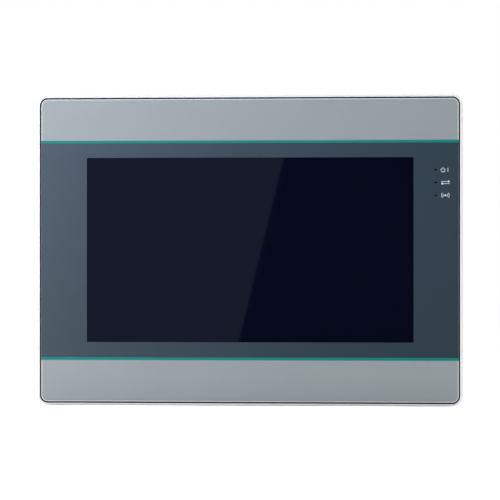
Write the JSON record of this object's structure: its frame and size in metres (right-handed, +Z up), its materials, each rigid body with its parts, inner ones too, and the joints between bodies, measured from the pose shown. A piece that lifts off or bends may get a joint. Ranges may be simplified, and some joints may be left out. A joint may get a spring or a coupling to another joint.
{
  "type": "operator touch panel",
  "caption": "Flush-mounted operator touch panel with a wide dark display, banded printed front, sealed bezel, screw clamps, cable bay and pluggable power terminal.",
  "frame": {"origin": "centre of the door's cut-out, on the door's outer face, where the panel gasket seats", "axes": "+X to the right seen from the front, +Y into the cabinet, +Z up; the display faces -Y"},
  "size_m": [0.2006, 0.039, 0.1456],
  "materials": {
    "bezel_plastic": "satin light grey moulding",
    "overlay_film": "matt printed polyester, silver, slate and teal bands",
    "lens": "dark window",
    "touch_surface": "dark gloss over the display",
    "clear_glass": "clear",
    "tape": "black foam tape",
    "display_glass": "dark, unlit",
    "diffuser": "milky",
    "sheet_steel": "zinc plated",
    "screw_steel": "nickel plated",
    "black_screw": "black oxide",
    "gasket_rubber": "matt",
    "flex": "amber polyimide",
    "circuit_board": "green solder resist",
    "chip_black": "moulded epoxy",
    "socket_cream": "nylon",
    "sink_metal": "extruded, anodised",
    "can_metal": "drawn can",
    "cell_metal": "nickel plated",
    "green_plastic": "nylon",
    "contact_metal": "tin plated",
    "connector_shell": "tin plated sheet",
    "connector_black": "moulded",
    "connector_white": "moulded",
    "cover_plastic": "fine moulded texture",
    "label_foil": "satin foil",
    "switch_red": "moulded",
    "slider_white": "moulded",
    "clamp_steel": "zinc plated pressing",
    "foot_plastic": "nylon"
  },
  "bodies": {
    "panel": {"front_bezel": "bezel_plastic", "front_overlay": "overlay_film", "indicator_lenses": "lens", "touch_film": "touch_surface", "touch_glass": "clear_glass", "touch_tail": "flex", "bonding_tapes": "tape", "lcd_frame": "sheet_steel", "lcd_cell": "display_glass", "light_guide": "diffuser", "lcd_rear_pan": "sheet_steel", "lcd_ribbon": "flex", "chassis_plate": "sheet_steel", "internal_screws": "screw_steel", "panel_gasket": "gasket_rubber", "main_board": "circuit_board", "processor": "chip_black", "heat_sink": "sink_metal", "board_chips": "chip_black", "ribbon_sockets": "socket_cream", "power_inductors": "chip_black", "capacitors": "can_metal", "battery_holder": "connector_black", "coin_cell": "cell_metal", "buzzer": "connector_black", "led_board": "circuit_board", "indicator_leds": "diffuser", "light_pipes": "diffuser", "power_header": "green_plastic", "power_pins": "contact_metal", "serial_shells": "connector_shell", "serial_inserts": "connector_black", "jack_posts": "screw_steel", "usb_shells": "connector_shell", "usb_inserts": "connector_white", "ethernet_shell": "connector_shell", "ethernet_insert": "connector_black", "rear_cover": "cover_plastic", "cover_screws": "black_screw", "rating_label": "label_foil", "dip_body": "switch_red", "clamp_brackets": "clamp_steel"},
    "power_plug": {"terminal_plug": "green_plastic", "plug_contacts": "contact_metal"},
    "plug_screw_1": {"terminal_screw_1": "screw_steel"},
    "plug_cage_1": {"wire_clamp_1": "contact_metal"},
    "plug_screw_2": {"terminal_screw_2": "screw_steel"},
    "plug_cage_2": {"wire_clamp_2": "contact_metal"},
    "plug_screw_3": {"terminal_screw_3": "screw_steel"},
    "plug_cage_3": {"wire_clamp_3": "contact_metal"},
    "switch_slider_1": {"dip_slider_1": "slider_white"},
    "switch_slider_2": {"dip_slider_2": "slider_white"},
    "foot_1": {"clamp_foot_1": "foot_plastic"},
    "screw_1": {"clamp_screw_1": "screw_steel"},
    "foot_2": {"clamp_foot_2": "foot_plastic"},
    "screw_2": {"clamp_screw_2": "screw_steel"},
    "foot_3": {"clamp_foot_3": "foot_plastic"},
    "screw_3": {"clamp_screw_3": "screw_steel"},
    "foot_4": {"clamp_foot_4": "foot_plastic"},
    "screw_4": {"clamp_screw_4": "screw_steel"}
  },
  "joints": [
    {"name": "plug_pull", "type": "slide", "parent": "panel", "child": "power_plug", "axis": [0, 0, -1], "range_m": [0, 0.012]},
    {"name": "terminal_screw_turn_1", "type": "hinge", "parent": "power_plug", "child": "plug_screw_1", "pos_m": [-0.06708, 0.022, -0.0471], "axis": [0, -1, 0], "range_deg": [0, 1440]},
    {"name": "wire_clamp_rise_1", "type": "slide", "parent": "power_plug", "child": "plug_cage_1", "axis": [0, 1, 0], "range_m": [0, 0.0018]},
    {"name": "terminal_screw_turn_2", "type": "hinge", "parent": "power_plug", "child": "plug_screw_2", "pos_m": [-0.062, 0.022, -0.0471], "axis": [0, -1, 0], "range_deg": [0, 1440]},
    {"name": "wire_clamp_rise_2", "type": "slide", "parent": "power_plug", "child": "plug_cage_2", "axis": [0, 1, 0], "range_m": [0, 0.0018]},
    {"name": "terminal_screw_turn_3", "type": "hinge", "parent": "power_plug", "child": "plug_screw_3", "pos_m": [-0.05692, 0.022, -0.0471], "axis": [0, -1, 0], "range_deg": [0, 1440]},
    {"name": "wire_clamp_rise_3", "type": "slide", "parent": "power_plug", "child": "plug_cage_3", "axis": [0, 1, 0], "range_m": [0, 0.0018]},
    {"name": "mode_slider_1", "type": "slide", "parent": "panel", "child": "switch_slider_1", "axis": [0, 0, 1], "range_m": [0, 0.002]},
    {"name": "mode_slider_2", "type": "slide", "parent": "panel", "child": "switch_slider_2", "axis": [0, 0, 1], "range_m": [0, 0.002]},
    {"name": "clamp_foot_slide_1", "type": "slide", "parent": "panel", "child": "foot_1", "axis": [0, -1, 0], "range_m": [0, 0.006]},
    {"name": "clamp_screw_turn_1", "type": "hinge", "parent": "foot_1", "child": "screw_1", "pos_m": [-0.083, 0.02, 0.0705], "axis": [0, -1, 0], "range_deg": [0, 4320]},
    {"name": "clamp_foot_slide_2", "type": "slide", "parent": "panel", "child": "foot_2", "axis": [0, -1, 0], "range_m": [0, 0.006]},
    {"name": "clamp_screw_turn_2", "type": "hinge", "parent": "foot_2", "child": "screw_2", "pos_m": [0.083, 0.02, 0.0705], "axis": [0, -1, 0], "range_deg": [0, 4320]},
    {"name": "clamp_foot_slide_3", "type": "slide", "parent": "panel", "child": "foot_3", "axis": [0, -1, 0], "range_m": [0, 0.006]},
    {"name": "clamp_screw_turn_3", "type": "hinge", "parent": "foot_3", "child": "screw_3", "pos_m": [-0.083, 0.02, -0.0705], "axis": [0, -1, 0], "range_deg": [0, 4320]},
    {"name": "clamp_foot_slide_4", "type": "slide", "parent": "panel", "child": "foot_4", "axis": [0, -1, 0], "range_m": [0, 0.006]},
    {"name": "clamp_screw_turn_4", "type": "hinge", "parent": "foot_4", "child": "screw_4", "pos_m": [0.083, 0.02, -0.0705], "axis": [0, -1, 0], "range_deg": [0, 4320]}
  ],
  "couplings": [
    {"joint": "terminal_screw_turn_1", "follows": "wire_clamp_rise_1", "rad_per_m": 13963},
    {"joint": "terminal_screw_turn_2", "follows": "wire_clamp_rise_2", "rad_per_m": 13963},
    {"joint": "terminal_screw_turn_3", "follows": "wire_clamp_rise_3", "rad_per_m": 13963},
    {"joint": "clamp_screw_turn_1", "follows": "clamp_foot_slide_1", "rad_per_m": 12566},
    {"joint": "clamp_screw_turn_2", "follows": "clamp_foot_slide_2", "rad_per_m": 12566},
    {"joint": "clamp_screw_turn_3", "follows": "clamp_foot_slide_3", "rad_per_m": 12566},
    {"joint": "clamp_screw_turn_4", "follows": "clamp_foot_slide_4", "rad_per_m": 12566}
  ]
}
